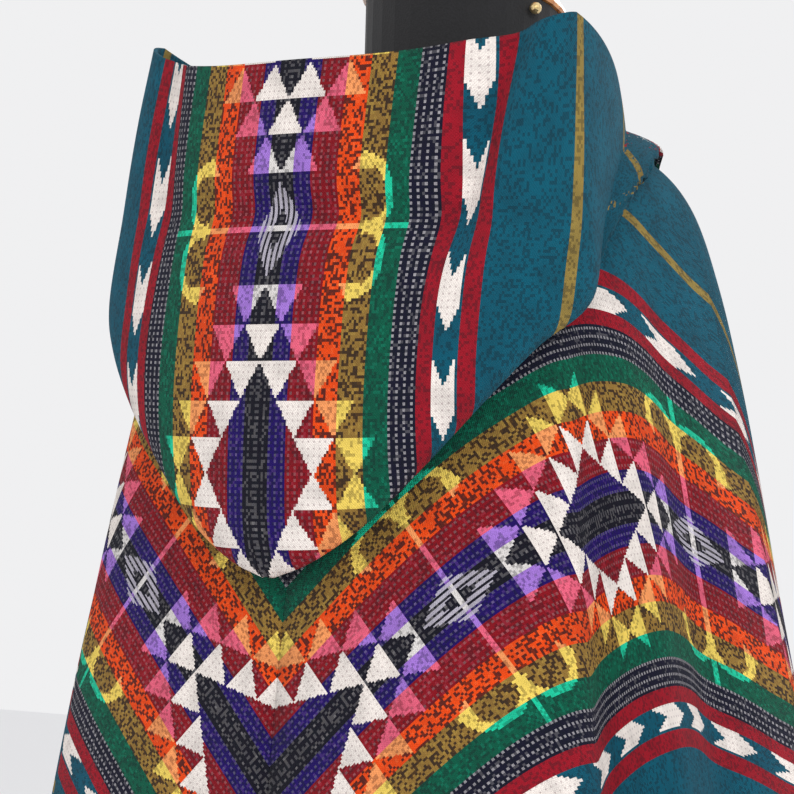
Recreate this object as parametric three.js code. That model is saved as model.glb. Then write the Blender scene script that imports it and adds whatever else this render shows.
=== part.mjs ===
// Hooded poncho of thick woven wool, hanging on a limbless dress form on a stand.
// Millimetres, +Z up, the garment's front faces -Y and the wearer's right is -X.
import * as THREE from 'three';

const WALL = 2.4;            // thickness of the woven cloth
const SEAM_GAP = 0.3;        // gap between neighbouring pieces
const CLEARANCE = 8.5;        // space between the hood and the cloth under it
const SHIFT_Y = -30.599;     // puts the origin at the middle of the whole outline
const POLE_RADIUS = 16;
const BASE_RADIUS = 175;
const BASE_HEIGHT = 26;
const FORM_BOTTOM = 800;
const NECK_TOP = 1463;       // height of the neck's sloping top on its axis
const NECK_SLOPE = 0.25;     // the top falls towards the front
const NECK_RADIUS = 57;
const PANEL_COLUMNS = 30;
const PANEL_ROWS = 26;
const HOOD_RIBS = 22;
const HOOD_POINTS = 26;      // points on one half of a rib

// Levels of the poncho from the neckline to the hem: half width, depth behind and before the
// neck's axis, height at the centre back, the side and the centre front.
const PONCHO = [
  { wide: 70, back: 76, front: 98, zBack: 1388, zSide: 1386, zFront: 1290 },
  { wide: 94, back: 97, front: 104, zBack: 1373, zSide: 1380, zFront: 1262 },
  { wide: 119, back: 118, front: 107, zBack: 1349, zSide: 1369, zFront: 1236 },
  { wide: 138, back: 136, front: 109, zBack: 1316, zSide: 1347, zFront: 1205 },
  { wide: 152, back: 150, front: 110, zBack: 1275, zSide: 1308, zFront: 1165 },
  { wide: 164, back: 162, front: 111, zBack: 1222, zSide: 1262, zFront: 1115 },
  { wide: 176, back: 174, front: 113, zBack: 1160, zSide: 1212, zFront: 1055 },
  { wide: 190, back: 187, front: 117, zBack: 1085, zSide: 1150, zFront: 985 },
  { wide: 206, back: 199, front: 122, zBack: 1000, zSide: 1080, zFront: 905 },
  { wide: 222, back: 210, front: 128, zBack: 905, zSide: 1000, zFront: 815 },
  { wide: 237, back: 220, front: 135, zBack: 800, zSide: 910, zFront: 720 },
  { wide: 250, back: 228, front: 142, zBack: 690, zSide: 815, zFront: 625 },
  { wide: 262, back: 235, front: 148, zBack: 575, zSide: 715, zFront: 530 },
];

// Hanging folds of one panel: place round the body in degrees from the centre back, half width
// in degrees, depth, and the share of the length at which the fold starts.
const FOLDS = [
  { at: 56, spread: 7, depth: 13, from: 0.28 },
  { at: 78, spread: 8, depth: 10, from: 0.2 },
  { at: 104, spread: 9, depth: 12, from: 0.4 },
  { at: 132, spread: 9, depth: 11, from: 0.35 },
];

// Ribs of the hood from its face edge to its tip: share of the ribs, depth and height of the
// middle, half width, depth and height of the side edge where the cloth turns under.
const HOOD = [
  { at: 0.0, yMid: 171, zMid: 1418, wide: 135, ySide: 110, zSide: 1440 },
  { at: 0.14, yMid: 179, zMid: 1380, wide: 142, ySide: 116, zSide: 1394 },
  { at: 0.28, yMid: 187, zMid: 1338, wide: 149, ySide: 121, zSide: 1338 },
  { at: 0.42, yMid: 197, zMid: 1292, wide: 153, ySide: 126, zSide: 1292 },
  { at: 0.52, yMid: 201, zMid: 1262, wide: 134, ySide: 150, zSide: 1266 },
  { at: 0.62, yMid: 204, zMid: 1234, wide: 111, ySide: 166, zSide: 1237 },
  { at: 0.74, yMid: 206, zMid: 1203, wide: 84, ySide: 177, zSide: 1206 },
  { at: 0.86, yMid: 206, zMid: 1174, wide: 55, ySide: 187, zSide: 1176 },
  { at: 0.95, yMid: 202, zMid: 1155, wide: 26, ySide: 193, zSide: 1156 },
  { at: 1.0, yMid: 197, zMid: 1147, wide: 3, ySide: 195, zSide: 1147 },
];

// Sections of the dress form from its underside to the top of its neck.
const FORM = [
  { z: 800, wide: 146, back: 136, front: 92 },
  { z: 806, wide: 150, back: 140, front: 95 },
  { z: 880, wide: 152, back: 138, front: 94 },
  { z: 970, wide: 134, back: 124, front: 90 },
  { z: 1070, wide: 116, back: 112, front: 84 },
  { z: 1160, wide: 134, back: 126, front: 90 },
  { z: 1230, wide: 138, back: 130, front: 84 },
  { z: 1290, wide: 130, back: 118, front: 76 },
  { z: 1326, wide: 116, back: 102, front: 64 },
  { z: 1350, wide: 98, back: 86, front: 56 },
  { z: 1366, wide: 78, back: 74, front: 54 },
  { z: 1382, wide: 61, back: 64, front: 55 },
  { z: 1410, wide: 58, back: 60, front: 57 },
];

// Value of one column of a table at a share of its length, through a smooth curve.
function along(table, key, share) {
  const place = Math.min(Math.max(share, 0), 1) * (table.length - 1);
  const row = Math.min(Math.floor(place), table.length - 2);
  const t = place - row;
  const b = table[row][key];
  const c = table[row + 1][key];
  const a = row > 0 ? table[row - 1][key] : 2 * b - c;
  const d = row < table.length - 2 ? table[row + 2][key] : 2 * c - b;
  return b + 0.5 * t * (c - a + t * (2 * a - 5 * b + 4 * c - d + t * (3 * (b - c) + d - a)));
}

// Value of one column of the hood's table at a share given by its first column.
function hoodAt(key, share) {
  let row = 0;
  while (row < HOOD.length - 2 && HOOD[row + 1].at < share) row += 1;
  const t = (share - HOOD[row].at) / (HOOD[row + 1].at - HOOD[row].at);
  return along(HOOD, key, (row + t) / (HOOD.length - 1));
}

function smooth(low, high, value) {
  const t = Math.min(Math.max((value - low) / (high - low), 0), 1);
  return t * t * (3 - 2 * t);
}

// Middle of the poncho's cloth: turn is the angle from the centre back, share runs from the
// neckline to the hem.
function ponchoPoint(turn, share) {
  const square = turn < Math.PI / 2 ? 1.3 : 0.2;
  const power = 2 / (2 + square * smooth(0.1, 0.4, share));
  const degrees = turn * 180 / Math.PI;
  let fold = 0;
  for (const f of FOLDS) {
    const off = (degrees - f.at) / f.spread;
    fold += f.depth * Math.exp(-off * off) * smooth(f.from, 1.1, share) * 1.6;
  }
  const s = Math.sin(turn);
  const c = Math.cos(turn);
  const wide = along(PONCHO, 'wide', share) - fold;
  const deep = c > 0 ? along(PONCHO, 'back', share) : along(PONCHO, 'front', share);
  const zEnd = c > 0 ? along(PONCHO, 'zBack', share) : along(PONCHO, 'zFront', share);
  const x = wide * Math.abs(s) ** power;
  const y = Math.sign(c) * (deep - fold * 0.7) * Math.abs(c) ** power;
  const z = zEnd * c * c + along(PONCHO, 'zSide', share) * s * s;
  return new THREE.Vector3(x, y, z);
}

// Closed wall round a grid of points: each point is moved half the wall out and in.
function wall(grid, flattenFirst, flattenLast) {
  const rows = grid.length;
  const columns = grid[0].length;
  const positions = [];
  const indices = [];
  for (const side of [0.5, -0.5]) {
    for (let i = 0; i < rows; i += 1) {
      for (let j = 0; j < columns; j += 1) {
        const down = grid[Math.min(i + 1, rows - 1)][j].clone().sub(grid[Math.max(i - 1, 0)][j]);
        const across = grid[i][Math.min(j + 1, columns - 1)].clone();
        across.sub(grid[i][Math.max(j - 1, 0)]);
        const normal = down.cross(across).normalize();
        const edge = (flattenFirst && j === 0) || (flattenLast && j === columns - 1);
        if (edge) normal.setX(0).normalize();
        const p = grid[i][j].clone().addScaledVector(normal, side * WALL);
        positions.push(p.x, p.y, p.z);
      }
    }
  }
  const at = (layer, i, j) => layer * rows * columns + i * columns + j;
  const quad = (a, b, c, d) => {
    indices.push(a, b, c, a, c, d);
  };
  for (let i = 0; i < rows - 1; i += 1) {
    for (let j = 0; j < columns - 1; j += 1) {
      quad(at(0, i, j), at(0, i + 1, j), at(0, i + 1, j + 1), at(0, i, j + 1));
      quad(at(1, i, j), at(1, i, j + 1), at(1, i + 1, j + 1), at(1, i + 1, j));
    }
  }
  for (let i = 0; i < rows - 1; i += 1) {
    quad(at(0, i, 0), at(1, i, 0), at(1, i + 1, 0), at(0, i + 1, 0));
    const last = columns - 1;
    quad(at(0, i, last), at(0, i + 1, last), at(1, i + 1, last), at(1, i, last));
  }
  for (let j = 0; j < columns - 1; j += 1) {
    quad(at(0, 0, j), at(0, 0, j + 1), at(1, 0, j + 1), at(1, 0, j));
    const last = rows - 1;
    quad(at(0, last, j), at(1, last, j), at(1, last, j + 1), at(0, last, j + 1));
  }
  const geometry = new THREE.BufferGeometry();
  geometry.setAttribute('position', new THREE.Float32BufferAttribute(positions, 3));
  geometry.setIndex(indices);
  geometry.computeVertexNormals();
  return geometry;
}

// One body panel, from the centre back round the side to the centre front.
function panel(side) {
  const grid = [];
  for (let i = 0; i <= PANEL_ROWS; i += 1) {
    const row = [];
    for (let j = 0; j <= PANEL_COLUMNS; j += 1) {
      const p = ponchoPoint(Math.PI * j / PANEL_COLUMNS, i / PANEL_ROWS);
      const x = Math.max(p.x, 0) + SEAM_GAP / 2 + 0.02;
      row.push(new THREE.Vector3(side * x, p.y, p.z));
    }
    grid.push(row);
  }
  return wall(grid, true, true);
}

// Points of the poncho's surface with outward normals, for keeping the hood clear of it.
const ponchoSamples = [];
for (let i = 0; i <= 80; i += 1) {
  for (let j = 0; j <= 120; j += 1) {
    const turn = Math.PI * (j + 0.02) / 120.04;
    const p = ponchoPoint(turn, i / 130);
    const du = ponchoPoint(turn + 0.01, i / 130).sub(p);
    const dv = ponchoPoint(turn, i / 130 + 0.005).sub(p);
    ponchoSamples.push({ p, n: dv.cross(du).negate().normalize() });
  }
}

// Moves a point of the hood out until it is a given distance above the poncho's cloth.
function keepClear(point, distance) {
  for (let pass = 0; pass < 5; pass += 1) {
    let best = null;
    let least = Infinity;
    for (const sample of ponchoSamples) {
      const d = sample.p.distanceToSquared(point);
      if (d < least) {
        least = d;
        best = sample;
      }
    }
    const height = point.clone().sub(best.p).dot(best.n);
    if (height < distance) point.addScaledVector(best.n, distance - height);
  }
  return point;
}

// One half of a rib, from the hood's middle round its side edge to the neckline.
function hoodRib(share) {
  const yMid = hoodAt('yMid', share);
  const zMid = hoodAt('zMid', share);
  const wide = hoodAt('wide', share);
  const ySide = hoodAt('ySide', share);
  const zSide = hoodAt('zSide', share);
  const outer = Math.round(HOOD_POINTS * 0.5);
  const rib = [];
  for (let j = 0; j <= outer; j += 1) {
    const t = Math.PI / 2 * j / outer;
    const lift = Math.sin(t) ** 4;
    const x = wide * Math.sin(t) ** 1.15;
    const y = ySide + (yMid - ySide) * Math.max(Math.cos(t), 0) ** 1.1;
    rib.push(new THREE.Vector3(x, y, zMid + (zSide - zMid) * lift));
  }
  const start = new THREE.Vector3(wide, ySide, zSide);
  const turn = Math.PI * (1 - smooth(-0.15, 1, share)) ** 1.15 * 1.02;
  const neck = ponchoPoint(Math.min(turn, Math.PI), 0.012);
  const front = 1 - smooth(0, 0.4, share);
  const first = start.clone();
  first.add(new THREE.Vector3(6 * front, -14 - 70 * front, -22 * front - 3));
  const second = neck.clone();
  second.x = neck.x * 1.25 + 26 * front;
  second.y = neck.y + 34 * (1 - front) - 8 * front;
  second.z = neck.z - 40 * (1 - front) + 62 * front;
  const curve = new THREE.CubicBezierCurve3(start, first, second, neck);
  for (let j = outer + 1; j <= HOOD_POINTS; j += 1) {
    const p = curve.getPoint((j - outer) / (HOOD_POINTS - outer));
    rib.push(keepClear(p, WALL + CLEARANCE));
  }
  return rib;
}

function hood() {
  const grid = [];
  for (let i = 0; i <= HOOD_RIBS; i += 1) {
    const share = i / HOOD_RIBS;
    const half = hoodRib(share);
    const row = [];
    for (let j = HOOD_POINTS; j > 0; j -= 1) {
      const p = half[j].clone();
      p.x = Math.max(p.x, WALL / 2 + 0.3);
      row.push(p);
    }
    row.push(half[0].clone().setX(0));
    for (let j = 1; j <= HOOD_POINTS; j += 1) {
      const p = half[j].clone();
      p.x = -Math.max(p.x, WALL / 2 + 0.3);
      row.push(p);
    }
    grid.push(row);
  }
  return wall(grid, false, false);
}

// Closed solid through rings of equal length, with flat ends.
function loft(rings) {
  const count = rings[0].length;
  const positions = [];
  const indices = [];
  for (const ring of rings) {
    for (const p of ring) positions.push(p.x, p.y, p.z);
  }
  for (let i = 0; i < rings.length - 1; i += 1) {
    for (let j = 0; j < count; j += 1) {
      const next = (j + 1) % count;
      const a = i * count + j;
      const b = i * count + next;
      indices.push(a, b, b + count, a, b + count, a + count);
    }
  }
  for (let j = 1; j < count - 1; j += 1) {
    const top = (rings.length - 1) * count;
    indices.push(0, j + 1, j, top, top + j, top + j + 1);
  }
  const geometry = new THREE.BufferGeometry();
  geometry.setAttribute('position', new THREE.Float32BufferAttribute(positions, 3));
  geometry.setIndex(indices);
  geometry.computeVertexNormals();
  return geometry;
}

function formRing(wide, back, front, z, slope, power) {
  const ring = [];
  for (let j = 0; j < 32; j += 1) {
    const angle = 2 * Math.PI * j / 32;
    const c = Math.cos(angle);
    const s = Math.sin(angle);
    const y = (s > 0 ? back : front) * Math.sign(s) * Math.abs(s) ** power;
    ring.push(new THREE.Vector3(wide * Math.sign(c) * Math.abs(c) ** power, y, z + slope * y));
  }
  return ring;
}

function torso() {
  const rings = FORM.map((f) => formRing(f.wide, f.back, f.front, f.z, 0, 1));
  rings.push(formRing(NECK_RADIUS, NECK_RADIUS, NECK_RADIUS, NECK_TOP, NECK_SLOPE, 1));
  return loft(rings);
}

function neckCap() {
  const levels = [
    { r: NECK_RADIUS + 2, up: SEAM_GAP }, { r: NECK_RADIUS + 3, up: 2 }, { r: NECK_RADIUS + 2, up: 5 },
    { r: NECK_RADIUS - 4, up: 13 }, { r: NECK_RADIUS - 18, up: 22 }, { r: NECK_RADIUS - 36, up: 28 },
    { r: 7, up: 30 },
  ];
  return loft(levels.map((v) => formRing(v.r, v.r, v.r, NECK_TOP + v.up, NECK_SLOPE, 1)));
}

function base() {
  const profile = [
    new THREE.Vector2(0, 0), new THREE.Vector2(BASE_RADIUS, 0),
    new THREE.Vector2(BASE_RADIUS, 8), new THREE.Vector2(BASE_RADIUS - 6, 14),
    new THREE.Vector2(48, BASE_HEIGHT - 4), new THREE.Vector2(30, BASE_HEIGHT),
    new THREE.Vector2(0, BASE_HEIGHT),
  ];
  return new THREE.LatheGeometry(profile, 40).rotateX(Math.PI / 2);
}

function pole() {
  const height = FORM_BOTTOM - BASE_HEIGHT - 2 * SEAM_GAP;
  const tube = new THREE.CylinderGeometry(POLE_RADIUS, POLE_RADIUS, height, 24);
  return tube.rotateX(Math.PI / 2).translate(0, 0, BASE_HEIGHT + SEAM_GAP + height / 2);
}

const group = new THREE.Group();

function add(name, geometry, color, roughness, metalness) {
  const mesh = new THREE.Mesh(geometry, new THREE.MeshStandardMaterial({ color, roughness, metalness }));
  mesh.name = name;
  mesh.position.y = SHIFT_Y;
  group.add(mesh);
  return mesh;
}

add('stand_base', base(), 0x1c1c1e, 0.45, 0.6);
add('stand_pole', pole(), 0x9a9a9c, 0.3, 0.9);
add('form_torso', torso(), 0x0c0c0e, 0.9, 0);
add('neck_cap', neckCap(), 0xc8782c, 0.3, 0);
const stud = add('cap_stud', new THREE.SphereGeometry(3.5, 12, 8), 0xc8a45a, 0.3, 0.8);
stud.position.set(-58.4, SHIFT_Y + 18.5, NECK_TOP - 4);
add('panel_right', panel(-1), 0x0a6a82, 0.95, 0);
add('panel_left', panel(1), 0x0a6a82, 0.95, 0);
add('hood', hood(), 0x9a1024, 0.95, 0);

export default group;
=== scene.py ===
import math

import bpy
import numpy as np
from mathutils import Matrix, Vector


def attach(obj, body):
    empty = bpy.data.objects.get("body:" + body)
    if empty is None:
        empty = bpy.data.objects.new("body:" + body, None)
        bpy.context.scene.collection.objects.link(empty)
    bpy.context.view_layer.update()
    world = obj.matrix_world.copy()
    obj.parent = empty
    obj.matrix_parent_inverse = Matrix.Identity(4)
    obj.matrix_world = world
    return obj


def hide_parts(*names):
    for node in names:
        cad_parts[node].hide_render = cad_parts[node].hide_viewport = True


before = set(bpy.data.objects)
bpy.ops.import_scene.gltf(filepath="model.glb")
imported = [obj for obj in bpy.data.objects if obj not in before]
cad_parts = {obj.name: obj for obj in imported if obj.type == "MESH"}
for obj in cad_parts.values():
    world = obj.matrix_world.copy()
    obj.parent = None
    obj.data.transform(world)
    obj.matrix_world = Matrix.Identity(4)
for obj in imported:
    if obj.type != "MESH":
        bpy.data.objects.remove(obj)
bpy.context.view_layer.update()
bpy.ops.object.select_all(action="DESELECT")

# ---- Stand base: a cast iron disc with a raised middle, turned and painted satin black.
# It is screwed to the foot of the pole and stands on the floor.


def new_material(name, rough=0.5, metal=0.0):
    made = bpy.data.materials.new(name)
    made.use_nodes = True
    shader = made.node_tree.nodes["Principled BSDF"]
    shader.inputs["Roughness"].default_value = rough
    shader.inputs["Metallic"].default_value = metal
    return made, made.node_tree, shader


def give_node(node, made):
    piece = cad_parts[node]
    piece.data.materials.clear()
    piece.data.materials.append(made)


def grain(tree, shader, scale, dark, light, stretch=(1, 1, 1), bump=0.1, rough=(0.4, 0.6)):
    """Colour, roughness and bump from one noise in the piece's own coordinates."""
    place = tree.nodes.new("ShaderNodeTexCoord")
    mapping = tree.nodes.new("ShaderNodeMapping")
    mapping.inputs["Scale"].default_value = stretch
    noise = tree.nodes.new("ShaderNodeTexNoise")
    noise.inputs["Scale"].default_value = scale
    noise.inputs["Detail"].default_value = 6
    ramp = tree.nodes.new("ShaderNodeValToRGB")
    ramp.color_ramp.elements[0].position = 0.3
    ramp.color_ramp.elements[0].color = (*dark, 1)
    ramp.color_ramp.elements[1].position = 0.7
    ramp.color_ramp.elements[1].color = (*light, 1)
    spread = tree.nodes.new("ShaderNodeMapRange")
    spread.inputs["To Min"].default_value = rough[0]
    spread.inputs["To Max"].default_value = rough[1]
    relief = tree.nodes.new("ShaderNodeBump")
    relief.inputs["Strength"].default_value = bump
    relief.inputs["Distance"].default_value = 0.001
    link = tree.links.new
    link(place.outputs["Object"], mapping.inputs["Vector"])
    link(mapping.outputs["Vector"], noise.inputs["Vector"])
    link(noise.outputs["Fac"], ramp.inputs["Fac"])
    link(noise.outputs["Fac"], spread.inputs["Value"])
    link(noise.outputs["Fac"], relief.inputs["Height"])
    link(ramp.outputs["Color"], shader.inputs["Base Color"])
    link(spread.outputs["Result"], shader.inputs["Roughness"])
    link(relief.outputs["Normal"], shader.inputs["Normal"])


iron, tree, shader = new_material("black_iron", metal=0.3)
grain(tree, shader, 260, (0.012, 0.012, 0.013), (0.03, 0.03, 0.032), bump=0.25)
give_node("stand_base", iron)

# ---- Pole: a straight steel tube, brushed along its length.
# It is pushed up into the form and screwed into the base.

steel, tree, shader = new_material("brushed_steel", metal=1.0)
grain(tree, shader, 90, (0.42, 0.42, 0.43), (0.6, 0.6, 0.61), (6, 6, 0.2), 0.05, (0.25, 0.4))
give_node("stand_pole", steel)

# ---- Torso and neck: a padded form covered in fine black jersey, pulled tight.
# The jersey ends at the neck's top, under the wooden cap.

jersey, tree, shader = new_material("black_jersey")
grain(tree, shader, 900, (0.004, 0.004, 0.005), (0.014, 0.014, 0.016), bump=0.3, rough=(0.8, 0.95))
shader.inputs["Sheen Weight"].default_value = 0.15
give_node("form_torso", jersey)

# ---- Neck cap: a turned dome of honey-coloured wood, varnished, with its grain running across.
# It closes the neck and follows the neck's slope.

wood, tree, shader = new_material("honey_wood")
grain(tree, shader, 30, (0.42, 0.13, 0.02), (0.75, 0.32, 0.08), (1, 9, 3), 0.05, (0.2, 0.35))
shader.inputs["Coat Weight"].default_value = 0.6
give_node("neck_cap", wood)

# ---- Stud: a small round brass stud in the side of the neck, just under the cap.

brass, tree, shader = new_material("stud_brass", metal=0.9)
grain(tree, shader, 400, (0.6, 0.42, 0.18), (0.85, 0.68, 0.36), bump=0.1, rough=(0.25, 0.4))
give_node("cap_stud", brass)

# ---- Poncho panels: thick brushed wool, woven in stripes with triangles and diamonds, cut on the
# cross. One piece a side goes over the shoulder, sewn at the centre back and the centre front.

WALL = 0.0024
AXIS_Y = -0.030599
BAND_CENTRE = 0.323        # from the neck's axis to the dark line, across the stripes
KNOT_PLACE = -0.172        # place of one knot motif along the stripes
NECK_REACH = 0.075         # from the neck's axis to the neckline, in the flat map
SHOULDER_SHARE = 0.29      # share of the length at which the cloth leaves the shoulder
HALF_GAP = 0.00017         # half of the gap between the two panels at a seam
LEVELS = np.array([
    # half width, back, front, z back, z side, z front
    (70, 76, 98, 1388, 1386, 1290), (94, 97, 104, 1373, 1380, 1262),
    (119, 118, 107, 1349, 1369, 1236), (138, 136, 109, 1316, 1347, 1205),
    (152, 150, 110, 1275, 1308, 1165), (164, 162, 111, 1222, 1262, 1115),
    (176, 174, 113, 1160, 1212, 1055), (190, 187, 117, 1085, 1150, 985),
    (206, 199, 122, 1000, 1080, 905), (222, 210, 128, 905, 1000, 815),
    (237, 220, 135, 800, 910, 720), (250, 228, 142, 690, 815, 625),
    (262, 235, 148, 575, 715, 530)]) / 1000
# place in degrees from the centre back, half width in degrees, depth, start
DRAPE = [(56, 7, 0.0208, 0.28), (78, 8, 0.016, 0.2), (104, 9, 0.0192, 0.4), (132, 9, 0.0176, 0.35)]
# direction in which the weave runs down, round the body: chosen for how the stripes lie, and
# wider than the cloth's true fan
FAN = ((0, 30, 50, 62, 75, 90, 105, 120, 140, 160, 180),
       (0, 5, 9, 22, 36, 50, 75, 110, 150, 172, 180))
# smaller soft folds, which the plain solid doesn't have
SOFT = [(20, 9, 0.003, 0.3), (53, 3.5, 0.011, 0.26), (66, 4, -0.006, 0.2), (79, 4, 0.008, 0.16),
        (118, 6, -0.005, 0.4), (150, 10, 0.005, 0.3)]


def curve_through(table, column, share):
    """A smooth curve through one column of a table."""
    count = len(table)
    place = np.clip(share, 0, 1) * (count - 1)
    row = np.minimum(place.astype(int), count - 2)
    t = place - row
    v = table[:, column]
    v = np.concatenate([[2 * v[0] - v[1]], v, [2 * v[-1] - v[-2]]])
    a, b, c, d = v[row], v[row + 1], v[row + 2], v[row + 3]
    return b + 0.5 * t * (c - a + t * (2 * a - 5 * b + 4 * c - d + t * (3 * (b - c) + d - a)))


def ease(low, high, value):
    t = np.clip((value - low) / (high - low), 0, 1)
    return t * t * (3 - 2 * t)


def poncho_points(turn, share, soft=True):
    """Middle of the cloth for arrays of turn from the centre back and share of the length."""
    square = np.where(turn < math.pi / 2, 1.3, 0.2)
    power = 2 / (2 + square * ease(0.1, 0.4, share))
    degrees = np.degrees(turn)
    fold = 0 * turn
    for at, spread, depth, start in DRAPE + (SOFT if soft else []):
        fold = fold + depth * np.exp(-((degrees - at) / spread) ** 2) * ease(start, 1.1, share)
    s, c = np.sin(turn), np.cos(turn)
    wide = curve_through(LEVELS, 0, share) - fold
    deep = np.where(c > 0, curve_through(LEVELS, 1, share), curve_through(LEVELS, 2, share))
    z_end = np.where(c > 0, curve_through(LEVELS, 3, share), curve_through(LEVELS, 5, share))
    x = wide * np.abs(s) ** power
    y = np.sign(c) * (deep - fold * 0.7) * np.abs(c) ** power
    z = z_end * c * c + curve_through(LEVELS, 4, share) * s * s
    return np.stack([x, y, z], -1)


def lay_flat(points, turn):
    """Place of each point in the weave: out from the neck over the shoulder, then down in a
    direction that turns from the back round to the front. Not a true flattening: it spreads
    wider than the cloth, so the weave is drawn narrower round the sides."""
    steps = np.linalg.norm(np.diff(points, axis=0), axis=-1)
    reach = np.vstack([np.zeros(points.shape[1]), np.cumsum(steps, 0)])
    edge = SHOULDER_SHARE * (len(points) - 1)
    at_edge = reach[int(round(edge))]
    out = NECK_REACH + np.minimum(reach, at_edge)
    s, c = np.abs(np.sin(turn)) ** 0.85, np.sign(np.cos(turn)) * np.abs(np.cos(turn)) ** 0.85
    lean = np.radians(np.interp(np.degrees(turn), FAN[0], FAN[1]))
    below = np.maximum(reach - at_edge, 0)
    fan = np.stack([out * s + below * np.sin(lean), -out * c - below * np.cos(lean)], -1)
    across = points[..., 0] * 1.05
    behind = np.stack([across, -np.sqrt(np.maximum((NECK_REACH + reach) ** 2 - across ** 2, 0))], -1)
    share = (ease(28, 62, np.degrees(turn)) * np.ones_like(across))[..., None]
    return behind * (1 - share) + fan * share


def cloth_sheet(name, points, weave, turned):
    """A sheet through a grid of points with its place in the cloth as its UV map, given the
    cloth's thickness."""
    rows, columns = points.shape[:2]
    index = np.arange(rows * columns).reshape(rows, columns)
    corners = [index[:-1, :-1], index[1:, :-1], index[1:, 1:], index[:-1, 1:]]
    if turned:
        corners.reverse()
    faces = np.stack(corners, -1).reshape(-1, 4)
    mesh = bpy.data.meshes.new(name)
    mesh.from_pydata(points.reshape(-1, 3).tolist(), [], faces.tolist())
    layer = mesh.uv_layers.new(name="weave")
    layer.data.foreach_set("uv", weave.reshape(-1, 2)[faces.reshape(-1)].reshape(-1))
    piece = bpy.data.objects.new(name, mesh)
    bpy.context.collection.objects.link(piece)
    bpy.ops.object.select_all(action="DESELECT")
    bpy.context.view_layer.objects.active = piece
    piece.select_set(True)
    bpy.ops.object.shade_smooth()
    thick = piece.modifiers.new("wall", "SOLIDIFY")
    thick.thickness = WALL
    thick.offset = 0
    bpy.ops.object.modifier_apply(modifier="wall")
    return piece


def value_maker(tree):
    """Short forms for the sums that the weave's chart is drawn with."""
    def put(socket, value):
        if isinstance(value, bpy.types.NodeSocket):
            tree.links.new(value, socket)
        else:
            socket.default_value = value

    def sums(operation, a, b=0.0, c=0.0):
        node = tree.nodes.new("ShaderNodeMath")
        node.operation = operation
        put(node.inputs[0], a)
        put(node.inputs[1], b)
        put(node.inputs[2], c)
        return node.outputs[0]

    def mix(share, a, b):
        node = tree.nodes.new("ShaderNodeMix")
        node.data_type = "RGBA"
        put(node.inputs["Factor"], share)
        put(node.inputs[6], a)
        put(node.inputs[7], b)
        return node.outputs[2]
    return sums, mix


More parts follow.
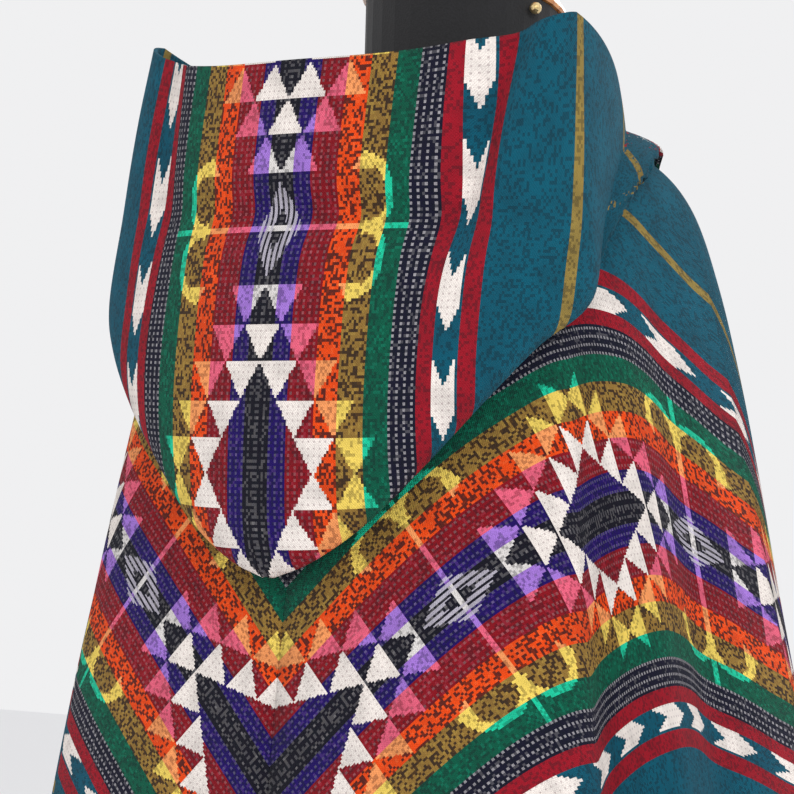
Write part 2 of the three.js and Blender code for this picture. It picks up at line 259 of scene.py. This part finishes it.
def weave_chart():
    """The cloth's pattern: stripes, rows of triangles that make diamonds, knots, hooks and
    arrows, stepped by the threads."""
    group = bpy.data.node_groups.new("andean_weave", "ShaderNodeTree")
    group.interface.new_socket("Place", in_out="INPUT", socket_type="NodeSocketVector")
    group.interface.new_socket("Color", in_out="OUTPUT", socket_type="NodeSocketColor")
    group.interface.new_socket("Height", in_out="OUTPUT", socket_type="NodeSocketFloat")
    given = group.nodes.new("NodeGroupInput")
    out = group.nodes.new("NodeGroupOutput")
    sums, mix = value_maker(group)
    link = group.links.new
    split = group.nodes.new("ShaderNodeSeparateXYZ")
    link(given.outputs["Place"], split.inputs[0])
    u, v = split.outputs[0], split.outputs[1]
    thread, pick = 0.0013, 0.0016
    across = sums("MULTIPLY", sums("ADD", sums("FLOOR", sums("DIVIDE", u, thread)), 0.5), thread)
    along = sums("MULTIPLY", sums("ADD", sums("FLOOR", sums("DIVIDE", v, pick)), 0.5), pick)
    a = sums("PINGPONG", across, 0.206)
    w = sums("PINGPONG", along, 0.129)
    stripes = [  # edge, ground colour, light colour
        (0.0, (0.005, 0.004, 0.012), (0.8, 0.76, 0.74)),
        (0.0075, (0.012, 0.001, 0.12), (0.4, 0.2, 0.72)),
        (0.0185, (0.25, 0.003, 0.01), (0.85, 0.13, 0.22)),
        (0.0335, (0.86, 0.07, 0.004), (1.0, 0.36, 0.12)),
        (0.046, (0.3, 0.17, 0.035), (0.95, 0.7, 0.13)),
        (0.0605, (0.0, 0.1, 0.055), (0.01, 0.62, 0.36)),
        (0.0735, (0.006, 0.006, 0.022), (0.7, 0.68, 0.7)),
        (0.0885, (0.33, 0.006, 0.018), (0.33, 0.006, 0.018)),
        (0.096, (0.001, 0.09, 0.145), (0.001, 0.09, 0.145)),
        (0.1085, (0.33, 0.006, 0.018), (0.33, 0.006, 0.018)),
        (0.118, (0.001, 0.095, 0.15), (0.001, 0.095, 0.15)),
        (0.159, (0.3, 0.21, 0.05), (0.3, 0.21, 0.05)),
        (0.1655, (0.001, 0.095, 0.15), (0.001, 0.095, 0.15)),
    ]
    ramps = []
    for which in (1, 2):
        node = group.nodes.new("ShaderNodeValToRGB")
        node.color_ramp.interpolation = "CONSTANT"
        points = node.color_ramp.elements
        while len(points) < len(stripes):
            points.new(1.0)
        for k, stripe in enumerate(stripes):
            points[k].position = stripe[0] / 0.206
            points[k].color = (*stripe[which], 1)
        link(sums("DIVIDE", a, 0.206), node.inputs["Fac"])
        ramps.append(node.outputs["Color"])
    ground, light = ramps
    cell = group.nodes.new("ShaderNodeCombineXYZ")
    link(sums("FLOOR", sums("DIVIDE", u, thread)), cell.inputs[0])
    link(sums("FLOOR", sums("DIVIDE", v, pick)), cell.inputs[1])
    chance = group.nodes.new("ShaderNodeTexWhiteNoise")
    chance.noise_dimensions = "2D"
    link(cell.outputs[0], chance.inputs["Vector"])
    luck = chance.outputs["Value"]

    def between(value, low, high):
        return sums("MULTIPLY", sums("GREATER_THAN", value, low), sums("LESS_THAN", value, high))

    # tweed of dark and light threads in the orange and olive stripes, a finer one elsewhere
    tweed = sums("MULTIPLY", between(a, 0.0335, 0.0605), sums("LESS_THAN", luck, 0.4))
    ground = mix(sums("MULTIPLY", tweed, 0.8), ground, (0.03, 0.008, 0.006, 1))
    speck = sums("MULTIPLY", sums("LESS_THAN", luck, 0.3), 0.42)
    ground = mix(speck, ground, (0.004, 0.008, 0.014, 1))
    glint = sums("MULTIPLY", sums("GREATER_THAN", luck, 0.86), 0.1)
    ground = mix(glint, ground, light)
    # dotted lines in the navy stripe and the middle stripes
    dash = sums("LESS_THAN", sums("FRACT", sums("DIVIDE", v, 0.0032)), 0.5)
    line = sums("LESS_THAN", sums("FRACT", sums("DIVIDE", sums("SUBTRACT", a, 0.0735), 0.0039)), 0.34)
    dots = sums("MULTIPLY", sums("MULTIPLY", line, dash), between(a, 0.0745, 0.0885))
    inner = sums("MULTIPLY", sums("MULTIPLY", line, dash), sums("LESS_THAN", a, 0.0335))
    dots = sums("ADD", sums("MULTIPLY", dots, 0.4), sums("MULTIPLY", inner, 0.1))
    ground = mix(dots, ground, (0.75, 0.72, 0.75, 1))
    # rows of triangles: light ones outside, white ones inside
    base, high, first = 0.0228, 0.0198, 0.031
    t = sums("DIVIDE", sums("SUBTRACT", w, first), high)
    row = sums("FLOOR", t)
    half = sums("MULTIPLY", sums("SUBTRACT", 1.0, sums("FRACT", t)), base / 2)
    on = sums("GREATER_THAN", t, 0.0)

    def triangle(shift):
        centre = sums("ABSOLUTE", sums("MULTIPLY", sums("ADD", row, shift), base / 2))
        return sums("LESS_THAN", sums("ABSOLUTE", sums("SUBTRACT", a, centre)), half)

    outer = sums("MULTIPLY", triangle(1.0), on)
    white = sums("MULTIPLY", triangle(-1.0), sums("GREATER_THAN", t, 1.0))
    # thin line, knot and hooks round the knot's place
    thin = sums("MULTIPLY", sums("LESS_THAN", w, 0.0022), sums("LESS_THAN", a, 0.0735))
    far = sums("ADD", sums("DIVIDE", a, 0.0135), sums("DIVIDE", w, 0.027))
    near = sums("ADD", sums("DIVIDE", a, 0.0045), sums("DIVIDE", w, 0.013))
    hatch = sums("LESS_THAN", sums("FRACT", sums("DIVIDE", u, 0.0032)), 0.6)
    knot = sums("MULTIPLY", sums("MULTIPLY", sums("LESS_THAN", far, 1.0),
                                 sums("GREATER_THAN", near, 1.0)), hatch)
    ring_a = sums("DIVIDE", sums("SUBTRACT", a, 0.052), 0.0115)
    ring_w = sums("DIVIDE", sums("SUBTRACT", w, 0.018), 0.017)
    ring = sums("SQRT", sums("ADD", sums("MULTIPLY", ring_a, ring_a), sums("MULTIPLY", ring_w, ring_w)))
    hook = sums("MULTIPLY", sums("LESS_THAN", sums("ABSOLUTE", sums("SUBTRACT", ring, 1.0)), 0.17),
                sums("GREATER_THAN", a, 0.05))
    barb = sums("MULTIPLY", between(w, 0.03, 0.041),
                sums("LESS_THAN", sums("ABSOLUTE", sums("SUBTRACT", a, 0.049)),
                     sums("MULTIPLY", sums("SUBTRACT", 0.041, w), 0.6)))
    lit = sums("MAXIMUM", sums("MAXIMUM", outer, thin), sums("MAXIMUM", hook, barb))
    lit_tweed = sums("SUBTRACT", 1.0, sums("MULTIPLY", sums("LESS_THAN", luck, 0.3), 0.45))
    color = mix(sums("MULTIPLY", lit, lit_tweed), ground, light)
    cream = (0.94, 0.86, 0.8, 1)
    pin = sums("MULTIPLY", sums("LESS_THAN", sums("FRACT", sums("DIVIDE", u, 0.0032)), 0.3),
               sums("LESS_THAN", sums("FRACT", sums("DIVIDE", v, 0.0036)), 0.3))
    cream_dots = mix(sums("MULTIPLY", pin, 0.45), cream, (0.3, 0.2, 0.22, 1))
    color = mix(white, color, cream_dots)
    color = mix(sums("MULTIPLY", knot, 0.75), color, (0.62, 0.58, 0.68, 1))
    # arrows in the narrow teal stripe between the red ones
    g = sums("FRACT", sums("DIVIDE", along, 0.057))
    off = sums("ABSOLUTE", sums("SUBTRACT", a, 0.10225))
    tip = sums("MULTIPLY", sums("SUBTRACT", 1.0, g), 0.022)
    body = sums("MULTIPLY", sums("LESS_THAN", off, sums("MINIMUM", tip, 0.0058)), between(g, 0.22, 1.0))
    notch = sums("LESS_THAN", off, sums("MULTIPLY", sums("SUBTRACT", 0.5, g), 0.022))
    arrow = sums("MULTIPLY", body, sums("SUBTRACT", 1.0, notch))
    color = mix(arrow, color, cream_dots)
    # uneven dye and nap
    cloud = group.nodes.new("ShaderNodeTexNoise")
    cloud.inputs["Scale"].default_value = 60
    cloud.inputs["Detail"].default_value = 5
    link(given.outputs["Place"], cloud.inputs["Vector"])
    shade = sums("MULTIPLY", sums("SUBTRACT", 0.6, cloud.outputs["Fac"]), 0.9)
    color = mix(sums("MAXIMUM", shade, 0.0), color, (0.006, 0.006, 0.01, 1))
    link(color, out.inputs["Color"])
    # threads over and under, with fuzz on them
    fuzz = group.nodes.new("ShaderNodeTexNoise")
    fuzz.inputs["Scale"].default_value = 1500
    fuzz.inputs["Detail"].default_value = 3
    link(given.outputs["Place"], fuzz.inputs["Vector"])
    over = sums("MULTIPLY", sums("SINE", sums("MULTIPLY", u, 2 * math.pi / thread)),
                sums("SINE", sums("MULTIPLY", v, 2 * math.pi / pick)))
    height = sums("ADD", sums("MULTIPLY", over, 0.35), sums("MULTIPLY", fuzz.outputs["Fac"], 0.8))
    link(sums("ADD", height, sums("MULTIPLY", luck, 0.35)), out.inputs["Height"])
    return group


def woven(name, chart):
    """Woven wool with the chart's pattern, read from the cloth's own UV map."""
    made, tree, shader = new_material(name, rough=0.95)
    shader.inputs["Sheen Weight"].default_value = 0.03
    shader.inputs["Sheen Roughness"].default_value = 0.6
    shader.inputs["Specular IOR Level"].default_value = 0.15
    place = tree.nodes.new("ShaderNodeUVMap")
    place.uv_map = "weave"
    cloth = tree.nodes.new("ShaderNodeGroup")
    cloth.node_tree = chart
    relief = tree.nodes.new("ShaderNodeBump")
    relief.inputs["Strength"].default_value = 0.7
    relief.inputs["Distance"].default_value = 0.0012
    tree.links.new(place.outputs["UV"], cloth.inputs["Place"])
    tree.links.new(cloth.outputs["Color"], shader.inputs["Base Color"])
    tree.links.new(cloth.outputs["Height"], relief.inputs["Height"])
    tree.links.new(relief.outputs["Normal"], shader.inputs["Normal"])
    return made


chart = weave_chart()
poncho_cloth = woven("poncho_weave", chart)
ROWS, COLUMNS = 170, 190
fine_turn, fine_share = np.meshgrid(np.linspace(0, math.pi, COLUMNS), np.linspace(0, 1, ROWS))
worn = poncho_points(fine_turn, fine_share)
flat = lay_flat(worn, fine_turn)
cut = np.stack([(flat[..., 0] - flat[..., 1]) / math.sqrt(2) - BAND_CENTRE,
                (flat[..., 0] + flat[..., 1]) / math.sqrt(2) - KNOT_PLACE], -1)
for name, side in (("panel_right", -1), ("panel_left", 1)):
    points = worn.copy()
    points[..., 0] = side * (np.maximum(points[..., 0], 0) + HALF_GAP)
    points[..., 1] += AXIS_Y
    piece = cloth_sheet("woven_" + name, points, cut, side > 0)
    piece.data.materials.append(poncho_cloth)
    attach(piece, "root")
    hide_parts(name)

# ---- Hood: one length of the same cloth, its stripes running back from the face edge, folded
# in half and closed below, sewn round the neckline and left hanging open down the back.

RIBS = np.array([
    # share, y middle, z middle, half width, y side, z side
    (0.0, 171, 1418, 135, 110, 1440), (0.14, 179, 1380, 142, 116, 1394),
    (0.28, 187, 1338, 149, 121, 1338), (0.42, 197, 1292, 153, 126, 1292),
    (0.52, 201, 1262, 134, 150, 1266), (0.62, 204, 1234, 111, 166, 1237),
    (0.74, 206, 1203, 84, 177, 1206), (0.86, 206, 1174, 55, 187, 1176),
    (0.95, 202, 1155, 26, 193, 1156), (1.0, 197, 1147, 3, 195, 1147)])
RIBS[:, 1:] /= 1000
HOOD_CLEAR = 0.0109

near_turn, near_share = np.meshgrid(np.linspace(0.001, math.pi - 0.001, 121), np.linspace(0, 0.615, 81))
under = poncho_points(near_turn, near_share, False).reshape(-1, 3)
step_turn = poncho_points(near_turn + 0.01, near_share, False).reshape(-1, 3) - under
step_down = poncho_points(near_turn, near_share + 0.005, False).reshape(-1, 3) - under
outward = -np.cross(step_down, step_turn)
outward /= np.linalg.norm(outward, axis=1, keepdims=True)


def lift_clear(points, distance):
    """Moves points out until they are a given distance above the poncho."""
    for _ in range(5):
        gap = ((points[:, None] - under[None]) ** 2).sum(-1)
        best = gap.argmin(1)
        height = ((points - under[best]) * outward[best]).sum(1)
        points = points + outward[best] * np.maximum(distance - height, 0)[:, None]
    return points


def hood_rib(share, count):
    """Half of one rib, from the hood's middle round its side edge to the neckline."""
    t = np.interp(share, RIBS[:, 0], np.linspace(0, 1, len(RIBS)))
    y_mid, z_mid, wide, y_side, z_side = (float(curve_through(RIBS, k, np.array(t))) for k in range(1, 6))
    angle = np.linspace(0, math.pi / 2, count // 2 + 1)
    s, c = np.sin(angle), np.maximum(np.cos(angle), 0)
    face = np.stack([wide * s ** 1.15, y_side + (y_mid - y_side) * c ** 1.1,
                     z_mid + (z_side - z_mid) * s ** 4], -1)
    turn = math.pi * (1 - float(ease(-0.15, 1, np.array(share)))) ** 1.15 * 1.02
    neck = poncho_points(np.array(min(turn, math.pi)), np.array(0.012), False)
    front = 1 - float(ease(0, 0.4, np.array(share)))
    start = np.array([wide, y_side, z_side])
    first = start + np.array([0.006 * front, -0.014 - 0.07 * front, -0.022 * front - 0.003])
    second = np.array([neck[0] * 1.25 + 0.026 * front, neck[1] + 0.034 * (1 - front) - 0.008 * front,
                       neck[2] - 0.04 * (1 - front) + 0.062 * front])
    q = np.linspace(0, 1, count - count // 2 + 1)[1:, None]
    back = (1 - q) ** 3 * start + 3 * q * (1 - q) ** 2 * first + 3 * q * q * (1 - q) * second + q ** 3 * neck
    return np.vstack([face, lift_clear(back, HOOD_CLEAR)])


HOOD_ROWS, HOOD_HALF = 110, 110
half = np.stack([hood_rib(i / (HOOD_ROWS - 1), HOOD_HALF) for i in range(HOOD_ROWS)])
width = np.concatenate([np.zeros((HOOD_ROWS, 1)),
                        np.cumsum(np.linalg.norm(np.diff(half, axis=1), axis=-1), 1)], 1)
fall = np.concatenate([[0], np.cumsum(np.linalg.norm(np.diff(half[:, 0], axis=0), axis=-1))])
halves, places = [], []
for side in (1, -1):
    points = half.copy()
    points[..., 0] = side * np.maximum(points[..., 0], 0.0015)
    halves.append(points)
    places.append(np.stack([width * side, np.repeat(fall[:, None] - 0.092, width.shape[1], 1)], -1))
points = np.concatenate([halves[0][:, :0:-1], halves[1]], 1)
points[:, HOOD_HALF, 0] = 0
place = np.concatenate([places[0][:, :0:-1], places[1]], 1)
# the cloth's own creases: a dent across the face, a deep valley by the right side edge, a lean
x, z = points[..., 0], points[..., 2]
on_face = ease(0.0, 0.04, points[..., 1] - 0.1)
dent = 0.007 * np.exp(-((z - 1.334 - 0.05 * (x + 0.03)) / 0.014) ** 2) * np.exp(-((x + 0.02) / 0.09) ** 2)
valley = 0.014 * np.exp(-((x + 0.112 - 0.16 * (1.43 - z)) / 0.011) ** 2) * ease(1.28, 1.36, z)
other = 0.008 * np.exp(-((x - 0.1 + 0.1 * (1.43 - z)) / 0.014) ** 2) * ease(1.27, 1.37, z)
points[..., 1] -= on_face * (dent + valley + other) * (z < 1.46)
points[..., 1] += AXIS_Y
hood = cloth_sheet("woven_hood", points, place, False)
hood.data.materials.append(woven("hood_weave", chart))
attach(hood, "root")
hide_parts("hood")

# ---- Floor and backdrop: plain pale paper, lit by three wide soft lamps.

paper, tree, shader = new_material("pale_paper", rough=0.9)
shader.inputs["Base Color"].default_value = (0.86, 0.86, 0.87, 1)
bpy.ops.object.select_all(action="DESELECT")
bpy.ops.mesh.primitive_plane_add(size=14, location=(0, 0, -0.001))
floor = bpy.context.object
floor.name = "floor"
floor.data.materials.append(paper)
world = bpy.data.worlds.new("studio")
world.use_nodes = True
world.node_tree.nodes["Background"].inputs["Color"].default_value = (0.87, 0.87, 0.88, 1)
world.node_tree.nodes["Background"].inputs["Strength"].default_value = 1.0
bpy.context.scene.world = world
bpy.context.scene.view_settings.view_transform = "Standard"
for name, spot, power, size in (("key", (-2.6, 1.6, 2.6), 46, 1.4), ("fill", (1.4, 3.0, 1.8), 12, 2.0),
                                ("front", (0.5, -3.0, 2.4), 30, 2.0)):
    lamp = bpy.data.lights.new(name, "AREA")
    lamp.energy = power
    lamp.size = size
    holder = bpy.data.objects.new(name, lamp)
    holder.location = spot
    holder.rotation_euler = (Vector((0, 0, 1.2)) - Vector(spot)).to_track_quat("-Z", "Y").to_euler()
    bpy.context.collection.objects.link(holder)

# ---- Camera: behind the wearer's right shoulder, level with the shoulder blades.

turn = math.radians(213)
aim = Vector((0.033, AXIS_Y + 0.021, 1.24))
view = bpy.data.cameras.new("camera")
view.lens = 125
camera = bpy.data.objects.new("camera", view)
camera.location = aim + 1.6 * Vector((math.sin(turn), -math.cos(turn), 0))
camera.rotation_euler = (aim - camera.location).to_track_quat("-Z", "Y").to_euler()
bpy.context.collection.objects.link(camera)
bpy.context.scene.camera = camera
